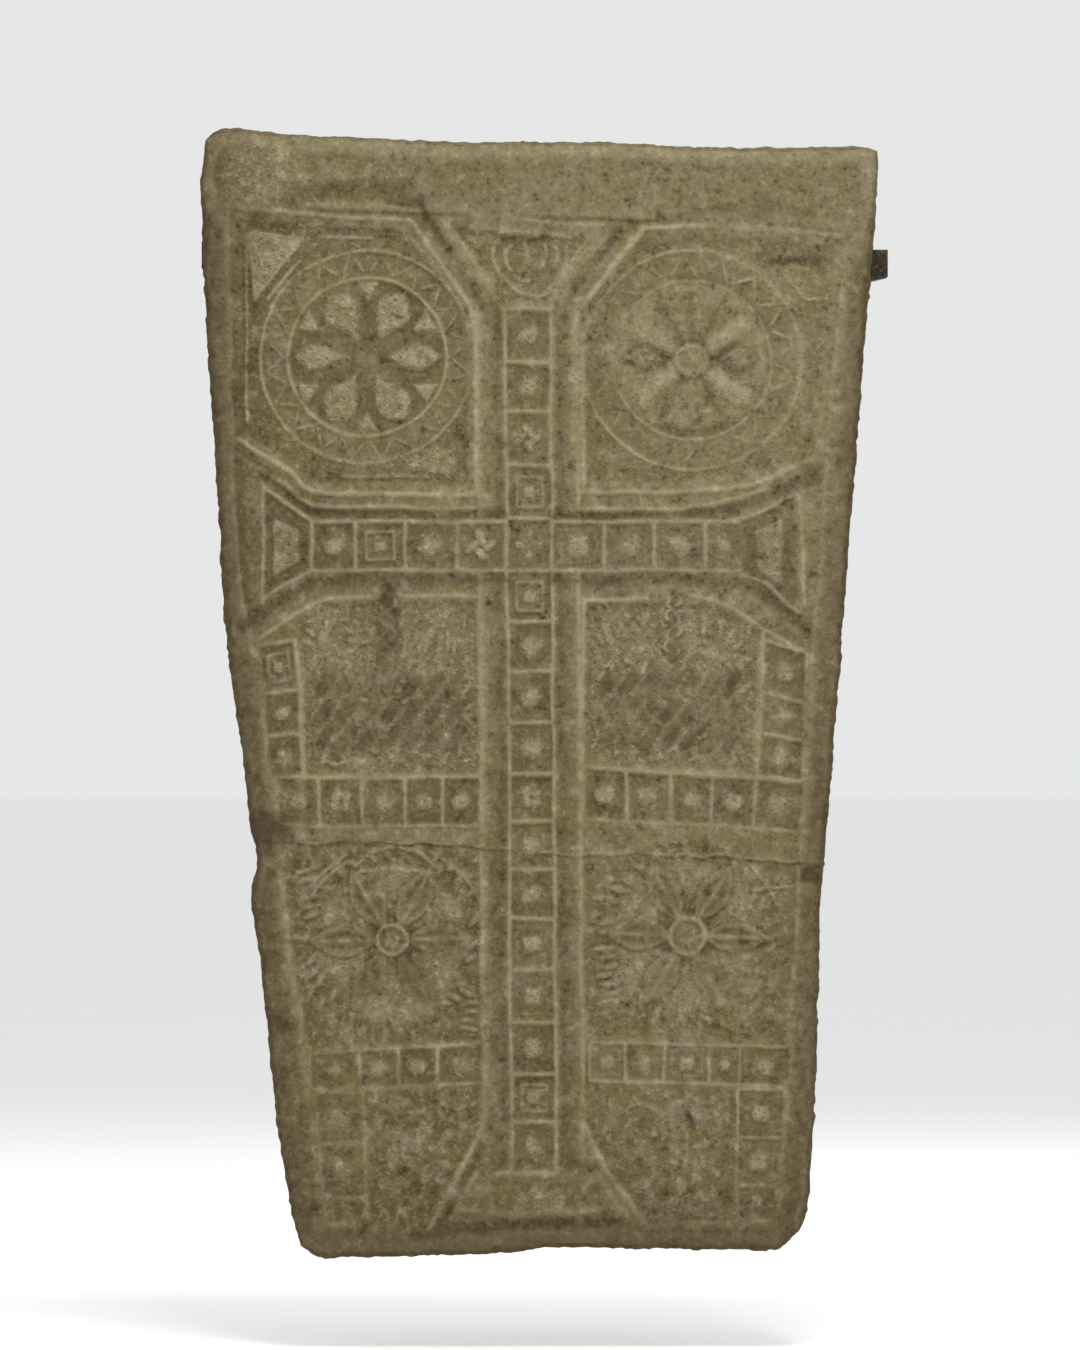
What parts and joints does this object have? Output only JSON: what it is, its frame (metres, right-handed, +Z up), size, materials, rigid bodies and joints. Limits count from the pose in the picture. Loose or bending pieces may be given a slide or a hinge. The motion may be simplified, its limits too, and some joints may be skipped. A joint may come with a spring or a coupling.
{
  "type": "stone relief panel",
  "caption": "Upright carved stone slab, wider at the top, with a jewelled cross, round panels and rosettes, gripped by iron wall brackets.",
  "frame": {"origin": "middle of the slab's flat back, where it lies against the wall", "axes": "+Z up along the slab's height, +Y into the wall, so the carved face looks along -Y; +X to the right as seen from the front"},
  "size_m": [0.92, 0.13, 1.5113],
  "materials": {
    "stone": "worn, matt, olive brown with paler ridges",
    "iron": "dark brown, dull"
  },
  "bodies": {
    "root": {"stone_slab": "stone", "iron_bracket_right": "iron", "iron_bracket_left": "iron"}
  },
  "joints": []
}
